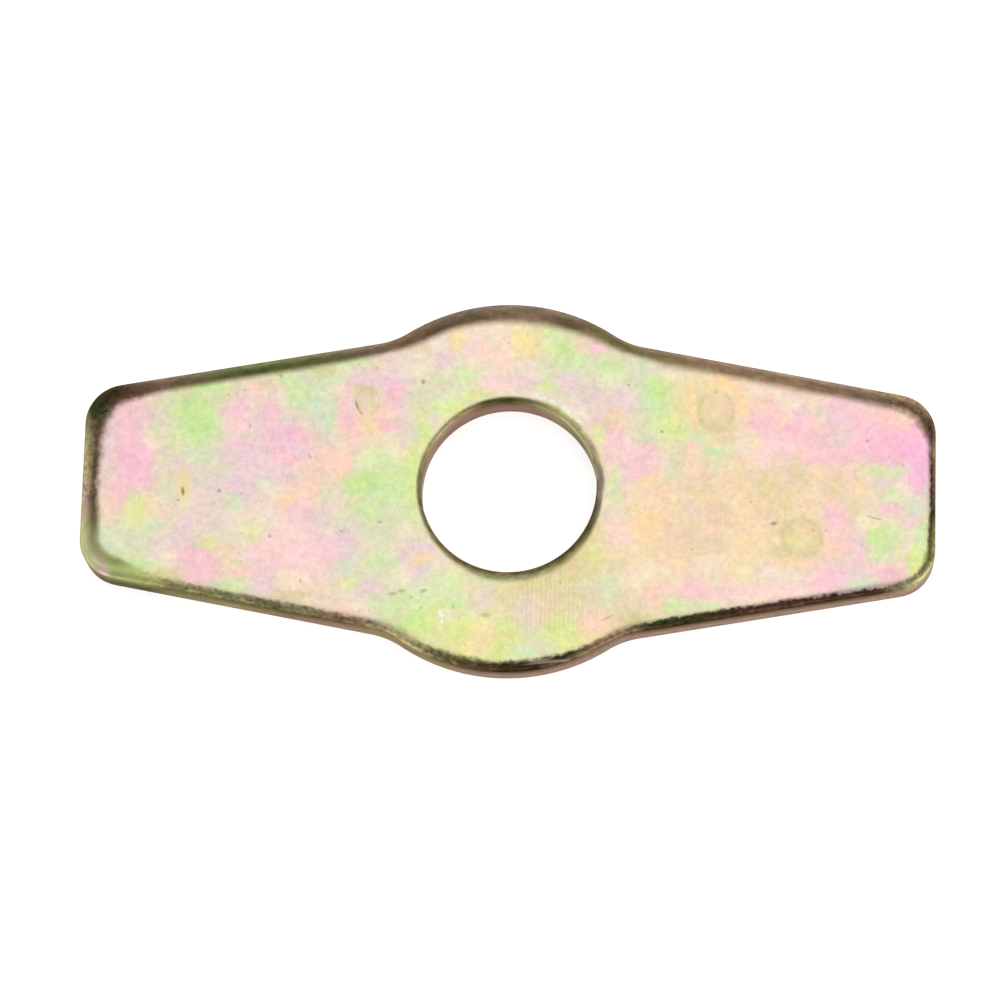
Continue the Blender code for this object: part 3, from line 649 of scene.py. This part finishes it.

# Round the bolt hole, in the same way, thicker film and painted reflection alike. There the wall shows
# only on the far side.
HOLE_ROUND = (
    (5, 0.90, 0.20, UMBER, OLIVE, OLIVE, SMOKE, SMOKE),
    (18, 0.85, 0.25, UMBER, KHAKI, KHAKI, SMOKE, STRAW),
    (35, 0.80, 0.30, OLIVE_BROWN, KHAKI, MOSS, LEMON, LEMON),
    (58, 0.80, 0.28, KHAKI, OLIVE_BROWN, KHAKI, LEMON, LEAF),
    (72, 0.50, 0.20, RUSSET, BRASS, OLIVE, OLIVE, STRAW),
    (90, 0.44, 0.18, RUSSET, ROSEWOOD, BLACK_GREEN, PINE, OLIVE),
    (108, 0.41, 0.18, RUSSET, ROSEWOOD, DARK_OLIVE, DARK_OLIVE, STRAW),
    (122, 0.27, 0.20, RUSSET, COPPER, COPPER, KHAKI, LEMON),
    (142, 0.23, 0.20, RUSSET, COPPER, STRAW, STRAW, LEMON),
    (160, 0.46, 0.18, UMBER, COPPER, OLIVE_BROWN, STRAW, LEMON),
    (175, 0.42, 0.14, UMBER, OLIVE_BROWN, DARK_OLIVE, OLIVE, LEMON),
    (192, 0.45, 0.14, UMBER, DARK_OLIVE, DARK_OLIVE, OLIVE, STRAW),
    (212, 0.60, 0.20, UMBER, DARK_OLIVE, DARK_OLIVE, OLIVE, STRAW),
    (240, 0.86, 0.28, UMBER, DARK_OLIVE, DARK_OLIVE, OLIVE_BROWN, OLIVE),
    (262, 1.12, 0.38, UMBER, DARK_BROWN, DARK_BROWN, OLIVE_BROWN, OLIVE),
    (285, 1.18, 0.40, UMBER, DARK_OLIVE, DARK_OLIVE, OLIVE_BROWN, OLIVE),
    (305, 1.16, 0.40, UMBER, BLACK_GREEN, BLACK_GREEN, DARK_OLIVE, OLIVE_BROWN),
    (335, 0.90, 0.22, UMBER, BLACK_GREEN, BLACK_GREEN, DARK_OLIVE, OLIVE_BROWN),
    (352, 0.75, 0.18, UMBER, DARK_OLIVE, BLACK_GREEN, OLIVE_BROWN, SMOKE),
)


def edge_paint(look, degrees, along):
    """Edge tone (film and painted reflection), how far inside the dark tone's end this is, and how softly
    it ends.
    """
    angles = [row[0] for row in look]
    end = np.interp(degrees, angles, [row[1] for row in look], period=360)
    soft = np.interp(degrees, angles, [row[2] for row in look], period=360)
    tone = np.zeros((len(along), 3))
    for channel in range(3):
        levels = [
            np.interp(degrees, angles, [row[3 + stop][channel] for row in look], period=360)
            for stop in range(len(EDGE_STOPS))
        ]
        tone[:, channel] = levels[-1]
        for stop in range(len(EDGE_STOPS) - 1):
            share = (along - EDGE_STOPS[stop]) / (EDGE_STOPS[stop + 1] - EDGE_STOPS[stop])
            between = (share >= 0) & (share < 1)
            mixed = levels[stop] * (1 - share) + levels[stop + 1] * share
            tone[between, channel] = mixed[between]
        tone[along < EDGE_STOPS[0], channel] = levels[0][along < EDGE_STOPS[0]]
    return tone, end - along, soft


RIM_FROM = 8.5 * MM  # points farther from the axis than this belong to the rim, the others to the hole
at_rim = from_axis > RIM_FROM
foot = nearest_on_edge(points[at_rim])
degrees = np.degrees(np.arctan2(foot[:, 1], foot[:, 0])) % 360
widths = np.interp(degrees, *zip(*ROLL_WIDTH_ROUND), period=360)
inset = np.hypot(*(points[at_rim, :2] - foot).T)
wall_top = THICKNESS - ROLL_DEPTH
below = (points[at_rim, 2] - wall_top) / MM
along = np.where(points[at_rim, 2] > wall_top, inset / (ROLL_WIDTH * widths), below)
rim_look = edge_paint(EDGE_ROUND, degrees, along)

degrees = np.degrees(np.arctan2(points[:, 1], points[:, 0])) % 360
wall_top = THICKNESS - HOLE_ROLL_DEPTH
below = (points[:, 2] - wall_top) / MM
along = np.where(points[:, 2] > wall_top, (from_axis - HOLE_RADIUS) / HOLE_ROLL_WIDTH, below)
edge_tone, edge_reach, edge_soft = edge_paint(HOLE_ROUND, degrees, along)
for values, rim_values in zip((edge_tone, edge_reach, edge_soft), rim_look):
    values[at_rim] = rim_values

# Across the underside the film is as on the face, up to its small tumbled edges.
NO_EDGE_TONE = -5
edge_reach[points[:, 2] < 0.02 * MM] = NO_EDGE_TONE

# Streaks follow the edges, so their noise is read from places that run slowly along an edge.
nearest = points[:, :2] / from_axis[:, None] * HOLE_RADIUS
nearest[at_rim] = foot
streak_place = np.column_stack([points[:, :2] - 0.65 * nearest, points[:, 2]])

# The punch struck the bolt hole a little off the middle, to the right and towards the front.
HOLE_OFF_MIDDLE = (0.08 * MM, -0.07 * MM)
CARRIED_TO = 9.0 * MM  # from the hole's mouth to here the face's points follow it less and less
carried = np.clip((CARRIED_TO - from_axis) / (CARRIED_TO - MOUTH_RADIUS), 0, 1)
points[:, :2] += carried[:, None] * HOLE_OFF_MIDDLE
move_points(mesh, points)


def paint(name, values):
    """Keeps one colour for each point of the washer."""
    layer = mesh.color_attributes.new(name, "FLOAT_COLOR", "POINT")
    layer.data.foreach_set("color", np.column_stack([values, np.ones(len(values))]).ravel())


paint("film", film)
paint("edge_tone", edge_tone)
mesh.attributes.new("edge_reach", "FLOAT", "POINT").data.foreach_set("value", edge_reach)
mesh.attributes.new("edge_soft", "FLOAT", "POINT").data.foreach_set("value", edge_soft)
streak_layer = mesh.attributes.new("streak_place", "FLOAT_VECTOR", "POINT")
streak_layer.data.foreach_set("vector", streak_place.ravel())


# The finish's node tree: film and edge colours, then what is too fine for the washer's own points.
mesh.materials.clear()
finish = bpy.data.materials.new("yellow_zinc_steel")
finish.use_nodes = True
tree = finish.node_tree
shader = tree.nodes["Principled BSDF"]
shader.inputs["Metallic"].default_value = 1.0
shader.inputs["Specular Tint"].default_value = (0.42, 0.38, 0.36, 1)
mesh.materials.append(finish)


def add_node(kind, inputs=(), **settings):
    """Adds a node to the present tree, sets its properties, and links or fills its inputs."""
    node = tree.nodes.new("ShaderNode" + kind)
    for name, value in settings.items():
        setattr(node, name, value)
    for name, value in dict(inputs).items():
        if isinstance(value, bpy.types.NodeSocket):
            tree.links.new(value, node.inputs[name])
        else:
            node.inputs[name].default_value = value
    return node


def calculate(operation, first, second):
    """Math on two numbers."""
    return add_node("Math", {0: first, 1: second}, operation=operation).outputs[0]


def rescale(value, low_in, high_in, low_out, high_out, kind="SMOOTHSTEP"):
    """Takes a value from one range to another, clamped."""
    inputs = {"Value": value, "From Min": low_in, "From Max": high_in}
    inputs |= {"To Min": low_out, "To Max": high_out}
    return add_node("MapRange", inputs, interpolation_type=kind).outputs["Result"]


def grey(value, low_in, high_in, low_out, high_out):
    """A grey whose level follows the value, taken from one range to another."""
    level = rescale(value, low_in, high_in, low_out, high_out, "LINEAR")
    return add_node("CombineColor", {0: level, 1: level, 2: level}).outputs[0]


def mix_colour(kind, share, first, second):
    """Mixes two colours: a share of the second is laid over the first."""
    node = add_node("Mix", data_type="RGBA", blend_type=kind)
    for socket, value in ((node.inputs[0], share), (node.inputs[6], first), (node.inputs[7], second)):
        if isinstance(value, bpy.types.NodeSocket):
            tree.links.new(value, socket)
        else:
            socket.default_value = value
    return node.outputs[2]


place = add_node("TexCoord").outputs["Object"]
along, across, height = add_node("SeparateXYZ", {"Vector": place}).outputs
film_colour = add_node("Attribute", attribute_name="film").outputs["Color"]
tone_colour = add_node("Attribute", attribute_name="edge_tone").outputs["Color"]
reach = add_node("Attribute", attribute_name="edge_reach").outputs["Fac"]
soft = add_node("Attribute", attribute_name="edge_soft").outputs["Fac"]
streak_vector = add_node("Attribute", attribute_name="streak_place").outputs["Vector"]


def speckle(size, detail, where=place):
    """Noise with features of this size in mm, as its value and its colour."""
    inputs = {"Vector": where, "Scale": 1 / (size * MM), "Detail": detail, "Roughness": 0.6}
    made = add_node("TexNoise", inputs)
    return made.outputs["Fac"], made.outputs["Color"]


def mark(x, y, half_width, half_height, turn, softness):
    """1 inside an ellipse on the face, falling to 0 outside it: place and size in mm, turn in degrees."""
    inputs = {
        "Vector": place,
        "Location": (x * MM, y * MM, 0),
        "Rotation": (0, 0, math.radians(turn)),
        "Scale": (half_width * MM, half_height * MM, 1),
    }
    centred = add_node("Mapping", inputs, vector_type="TEXTURE").outputs["Vector"]
    span = add_node("VectorMath", {0: centred}, operation="LENGTH").outputs["Value"]
    return rescale(span, 1 + softness, 1 - softness, 0, 1)


# The film's hue shifts a little everywhere, over a millimetre, a third of one and a tenth.
_, drift = speckle(1.0, 2)
face = mix_colour("LINEAR_LIGHT", 0.085, film_colour, drift)
crinkle, mottle = speckle(0.4, 1.5)
face = mix_colour("LINEAR_LIGHT", 0.05, face, mottle)
face = mix_colour("MULTIPLY", 1.0, face, grey(crinkle, 0.3, 0.7, 0.94, 1.05))
grain, _ = speckle(0.19, 1)
shades = (rescale(grain, 0.25, 0.75, low, low + 0.1, "LINEAR") for low in (0.94, 0.94, 0.91))
grain_shade = add_node("CombineColor", dict(enumerate(shades))).outputs[0]
face = mix_colour("MULTIPLY", 1.0, face, grain_shade)

# Draw marks from the rolling of the sheet show beside the hole, in front of it.
LINE_SPACING = 0.27 * MM
inputs = {"Vector": place, "Scale": 0.314 / LINE_SPACING}
inputs |= {"Distortion": 1.2, "Detail": 1.5, "Detail Scale": 0.6}
lines = add_node("TexWave", inputs, wave_type="BANDS", bands_direction="X").outputs["Fac"]
line_area = mark(2.6, -7.2, 2.5, 2.0, 0, 0.5)
face = mix_colour("MULTIPLY", line_area, face, grey(lines, 0, 1, 0.953, 1.03))

# Small dark specks and scratches where dirt sits in the film, and the pit with its yellow ring.
SPECKS = (  # x, y, half width, half height in mm, turn in degrees, strength
    (-19.0, -0.70, 0.10, 0.26, 8, 1.0), (-19.25, -1.25, 0.09, 0.08, 0, 0.6),
    (-16.85, -0.65, 0.13, 0.12, 0, 0.6), (-13.8, -3.35, 0.10, 0.10, 0, 0.6),
    (-13.5, 6.4, 0.12, 0.09, 0, 0.6), (-5.1, 6.15, 0.12, 0.13, 0, 0.8),
    (15.6, -2.15, 0.18, 0.11, 0, 0.75), (9.0, 3.3, 0.12, 0.09, 0, 0.6), (7.0, 6.1, 0.10, 0.08, 0, 0.6),
    (-8.95, 4.65, 0.07, 0.30, 20, 0.8), (-8.72, 4.25, 0.07, 0.18, 40, 0.6),
    (21.4, -1.72, 0.50, 0.05, -14, 0.6), (-6.5, -6.7, 0.24, 0.10, 10, 0.5),
    (-5.95, -6.5, 0.22, 0.11, 0, 0.5), (-4.7, -6.5, 0.20, 0.12, 20, 0.6),
    (-1.0, -7.9, 0.32, 0.13, 0, 0.4), (-7.4, -2.4, 0.15, 0.08, 0, 0.5),
    (-11.6, 1.5, 0.08, 0.22, 30, 0.4), (-9.6, -3.0, 0.06, 0.14, 60, 0.5),
    (-11.9, -6.0, 0.07, 0.12, 0, 0.5), (17.88, -2.52, 0.13, 0.13, 0, 0.4),
    (6.0, -7.95, 0.35, 0.05, 25, 0.5), (-15.2, 3.3, 0.06, 0.10, 0, 0.5),
    (21.0, 2.9, 0.10, 0.08, 0, 0.6), (-5.4, -6.87, 0.12, 0.09, 0, 0.35),
    (-4.8, -7.5, 0.10, 0.12, 0, 0.35), (-2.95, -7.45, 0.10, 0.10, 0, 0.3),
)
on_face = rescale(height, 1.2 * MM, 1.4 * MM, 0, 1)
dark = 0
for x, y, half_width, half_height, turn, strength in SPECKS:
    spot = calculate("MULTIPLY", mark(x, y, half_width, half_height, turn, 0.6), strength)
    dark = calculate("MAXIMUM", dark, spot)
dark = calculate("MULTIPLY", dark, calculate("MULTIPLY", on_face, 0.75))

# Round each of the three larger dents the film has run into a darker, broken ring.
RING_TONE = (0.69, 0.57, 0.31, 1)
PIT_RING_TONE = (0.83, 0.71, 0.33, 1)
RINGS = (  # x, y, half width, half height in mm
    (12.15, 4.57, 1.02, 1.18), (17.25, -3.0, 1.15, 1.15), (-8.3, 4.95, 0.65, 0.8),
)
rings = 0
discs = 0
for x, y, half_width, half_height in RINGS:
    outer = mark(x, y, half_width * 1.1, half_height * 1.1, 0, 0.12)
    inner = mark(x, y, half_width * 0.82, half_height * 0.82, 0, 0.2)
    rings = calculate("MAXIMUM", rings, calculate("SUBTRACT", outer, inner))
    discs = calculate("MAXIMUM", discs, outer)
broken, _ = speckle(0.45, 2)
rings = calculate("MULTIPLY", rings, rescale(broken, 0.38, 0.6, 0.2, 1))
rings = calculate("MAXIMUM", rings, calculate("MULTIPLY", discs, 0.22))
face = mix_colour("MIX", calculate("MULTIPLY", rings, on_face), face, RING_TONE)
pit_ring = calculate("MULTIPLY", mark(-18.96, -0.35, 0.40, 0.95, 0, 0.6), on_face)
face = mix_colour("MIX", calculate("MULTIPLY", pit_ring, 0.75), face, PIT_RING_TONE)


def dust_of(spacing, radius, share, strength):
    """Small round specks in some of the cells of a grid of scattered points, sizes in mm."""
    cells = add_node("TexVoronoi", {"Vector": place, "Scale": 1 / (spacing * MM)})
    spots = rescale(cells.outputs["Distance"], 1.5 * radius / spacing, 0.7 * radius / spacing, 0, 1)
    some = add_node("SeparateColor", {"Color": cells.outputs["Color"]}).outputs[0]
    return calculate("MULTIPLY", spots, rescale(some, 1 - share, 1 - share / 2, 0, strength))


DIRT = (0.25, 0.20, 0.15, 1)
dust = calculate("MAXIMUM", dust_of(1.1, 0.08, 0.3, 0.25), dust_of(0.42, 0.06, 0.3, 0.15))
face = mix_colour("MULTIPLY", calculate("MAXIMUM", dark, dust), face, DIRT)

# The edge tone is streaky and mottled with green and red, and its inner border is grainy.
streaks, streak_hue = speckle(0.3, 3, streak_vector)
on_roll = rescale(height, 1.7 * MM, 2.0 * MM, 0.35, 1)
calm_end = rescale(along, -22 * MM, -19.5 * MM, 0.25, 1)
calm_far = rescale(across, 2 * MM, 5 * MM, 1, 0.55)
streakiness = calculate("MULTIPLY", calculate("MULTIPLY", on_roll, calm_end), calm_far)
edge = mix_colour("MULTIPLY", streakiness, tone_colour, grey(streaks, 0.3, 0.7, 0.6, 1.4))
edge = mix_colour("OVERLAY", 0.25, edge, streak_hue)

# The edges towards the front and at the ends were rubbed in the barrel: their film is blotchy and ends
# raggedly. The lower left corner and the rim of the hole stayed smooth.
rubbed_front = rescale(across, -4 * MM, 0, 1, 0.25)
out_along = add_node("Math", {0: along}, operation="ABSOLUTE").outputs[0]
rubbed_ends = rescale(out_along, 21 * MM, 22.5 * MM, 0, 0.9)
far_left = rescale(along, -22 * MM, -19 * MM, 0.9, 0)
to_front = rescale(across, -2.5 * MM, -0.5 * MM, 1, 0)
smooth_corner = calculate("MULTIPLY", far_left, to_front)
rubbed_side = calculate("MAXIMUM", rubbed_front, rubbed_ends)
rubbed_side = calculate("MULTIPLY", rubbed_side, calculate("SUBTRACT", 1.0, smooth_corner))
from_hole = add_node("VectorMath", {0: place}, operation="LENGTH").outputs["Value"]
rubbed_side = calculate("MULTIPLY", rubbed_side, rescale(from_hole, 7 * MM, 8 * MM, 0.2, 1))
blotches, _ = speckle(0.28, 2)
blotch_shade = grey(blotches, 0.32, 0.68, 0.6, 1.45)
edge = mix_colour("MULTIPLY", calculate("MULTIPLY", rubbed_side, on_roll), edge, blotch_shade)

# In four places on the front edge of the hub the film is rubbed through to paler metal.
RUBBED_METAL = (0.62, 0.52, 0.42, 1)
RUBBED = (  # x, y, half width, half height in mm, turn in degrees
    (2.6, -10.56, 1.2, 0.06, 8), (2.2, -10.50, 0.6, 0.05, 8), (6.9, -8.62, 0.13, 0.10, 0),
    (7.5, -8.25, 0.12, 0.14, 0),
)
rubbed = 0
for x, y, half_width, half_height, turn in RUBBED:
    rubbed = calculate("MAXIMUM", rubbed, mark(x, y, half_width, half_height, turn, 0.5))
rubbed = calculate("MULTIPLY", rubbed, rescale(height, 1.95 * MM, 2.05 * MM, 0, 0.6))
edge = mix_colour("MIX", rubbed, edge, RUBBED_METAL)

# A rose spot in the film marks the lower left corner; it is painted bright, partly as a highlight where the
# corner catches the lamp.
ROSE_FILM_HIGHLIGHT = (1.0, 0.62, 0.64, 1)
rose_spot = mark(-23.45, -5.58, 0.34, 0.26, -35, 0.7)
rose_spot = calculate("MULTIPLY", rose_spot, rescale(height, 1.9 * MM, 2.1 * MM, 0, 0.8))
edge = mix_colour("MIX", rose_spot, edge, ROSE_FILM_HIGHLIGHT)

# The dark edge tone's inner border, painted reflection and film alike, frays on the rubbed edges.
fray, _ = speckle(0.45, 2)
fray = calculate("MULTIPLY", rescale(fray, 0.25, 0.75, -0.13, 0.13, "LINEAR"), rubbed_side)
frayed = calculate("DIVIDE", calculate("ADD", reach, fray), calculate("MULTIPLY", soft, 2))
frayed = rescale(frayed, -0.5, 0.5, 0, 1)
colour = mix_colour("MIX", frayed, face, edge)

# Two knocks and the lip of the hole's rim carry painted highlights: small pale glints laid into the colour.
GLINT_WHITE = (0.95, 0.95, 0.91, 1)
GLINT_MARKS = (  # x, y, half width, half height in mm, turn in degrees
    (-3.62, -7.85, 0.13, 0.28, 12), (-3.56, -8.3, 0.08, 0.13, 0), (1.78, 5.36, 0.40, 0.13, -19),
    (2.54, 5.05, 0.20, 0.09, -27), (3.38, 4.47, 0.40, 0.14, -38), (4.07, 3.88, 0.26, 0.09, -46),
)
glints = 0
for x, y, half_width, half_height, turn in GLINT_MARKS:
    glints = calculate("MAXIMUM", glints, mark(x, y, half_width, half_height, turn, 0.7))
glints = calculate("MULTIPLY", glints, rescale(height, 2.2 * MM, 2.3 * MM, 0, 0.75))
glints = calculate("MULTIPLY", glints, rescale(grain, 0.36, 0.60, 0.15, 1))
colour = mix_colour("MIX", glints, colour, GLINT_WHITE)
tree.links.new(colour, shader.inputs["Base Color"])

# The zinc is satin, a little duller where the film is thick.
patchy, _ = speckle(1.5, 3)
roughness = calculate("ADD", rescale(patchy, 0.3, 0.7, 0.27, 0.34), calculate("MULTIPLY", frayed, 0.05))
tree.links.new(roughness, shader.inputs["Roughness"])

# Plating grain and the draw marks stand up by a few microns.
relief = calculate("ADD", grain, calculate("MULTIPLY", calculate("MULTIPLY", lines, line_area), 0.5))
bump = add_node("Bump", {"Height": relief, "Distance": 0.006 * MM, "Strength": 1.0})
tree.links.new(bump.outputs["Normal"], shader.inputs["Normal"])

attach(washer, "root")
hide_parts("wing_washer")

# Floor
# A sheet of white paper on the studio table. To the camera and in reflections it is lifted to white, and
# it keeps the washer's shadow.

PAPER_SIZE = 6.0
PAPER_LIFT = 0.62
bpy.ops.object.select_all(action="DESELECT")
bpy.ops.mesh.primitive_plane_add(size=PAPER_SIZE, location=(0, 0, 0))
floor = bpy.context.object
floor.name = "paper_floor"
bpy.ops.object.mode_set(mode="EDIT")
bpy.ops.mesh.subdivide(number_cuts=8)
bpy.ops.object.mode_set(mode="OBJECT")
paper = bpy.data.materials.new("white_paper")
paper.use_nodes = True
tree = paper.node_tree
tree.nodes.clear()
ray = add_node("LightPath").outputs
seen = calculate("MAXIMUM", ray["Is Camera Ray"], ray["Is Glossy Ray"])
seen = calculate("MAXIMUM", seen, ray["Is Transmission Ray"])
glow = add_node("Emission", {"Color": (1, 1, 1, 1), "Strength": calculate("MULTIPLY", seen, PAPER_LIFT)})
matt = add_node("BsdfDiffuse", {"Color": (0.8, 0.8, 0.8, 1)})
both = add_node("AddShader", {0: matt.outputs[0], 1: glow.outputs[0]})
add_node("OutputMaterial", {"Surface": both.outputs[0]})
floor.data.materials.append(paper)

# Light
# One large soft lamp hangs over the table, more to the right than to the left, in a studio whose walls are
# pale near the floor and darker higher up.

SOFTBOX_HEIGHT = 0.5
SOFTBOX_FROM = (-0.23, -0.30)
SOFTBOX_TO = (0.52, 0.42)
SOFTBOX_POWER = 1.045
lamp = bpy.data.lights.new("softbox", "AREA")
lamp.shape = "RECTANGLE"
lamp.size = SOFTBOX_TO[0] - SOFTBOX_FROM[0]
lamp.size_y = SOFTBOX_TO[1] - SOFTBOX_FROM[1]
lamp.energy = SOFTBOX_POWER
softbox = bpy.data.objects.new("softbox", lamp)
softbox.location = (
    (SOFTBOX_FROM[0] + SOFTBOX_TO[0]) / 2,
    (SOFTBOX_FROM[1] + SOFTBOX_TO[1]) / 2,
    SOFTBOX_HEIGHT,
)
bpy.context.scene.collection.objects.link(softbox)

world = bpy.data.worlds.new("studio")
bpy.context.scene.world = world
world.use_nodes = True
tree = world.node_tree
upwards = add_node("SeparateXYZ", {0: add_node("TexCoord").outputs["Generated"]}).outputs["Z"]
walls = add_node("ValToRGB", {"Fac": upwards})
ramp = walls.color_ramp
ramp.elements[0].position = 0.0
ramp.elements[0].color = (0.75, 0.75, 0.75, 1)
ramp.elements[1].position = 1.0
ramp.elements[1].color = (0.5, 0.5, 0.5, 1)
for position, level in ((0.17, 0.6), (0.40, 0.5), (0.75, 0.5)):
    stop = ramp.elements.new(position)
    stop.color = (level, level, level, 1)
tree.links.new(walls.outputs["Color"], tree.nodes["Background"].inputs["Color"])

# Camera
# It looks almost straight down from a little in front of the washer, through a long lens, and is turned a
# degree or two to the side.

AIM = Vector((0, 0, 0.997 * MM))
CAMERA_DISTANCE = 0.2977
TILT_SIDEWAYS = 2.895
TILT_BACK = 14.79
TWIST = 1.555
camera_data = bpy.data.cameras.new("camera")
camera_data.lens = 182.5
camera_data.sensor_width = 36
camera_data.shift_x = -0.00805
camera_data.shift_y = -0.00937
camera_data.clip_start = 0.01
camera_data.clip_end = 20
camera = bpy.data.objects.new("camera", camera_data)
bpy.context.scene.collection.objects.link(camera)
turn = (
    Matrix.Rotation(math.radians(TILT_SIDEWAYS), 4, "Y")
    @ Matrix.Rotation(math.radians(TILT_BACK), 4, "X")
    @ Matrix.Rotation(math.radians(TWIST), 4, "Z")
)
camera.matrix_world = Matrix.Translation(AIM) @ turn @ Matrix.Translation((0, 0, CAMERA_DISTANCE))
bpy.context.scene.camera = camera
bpy.context.scene.view_settings.view_transform = "Standard"
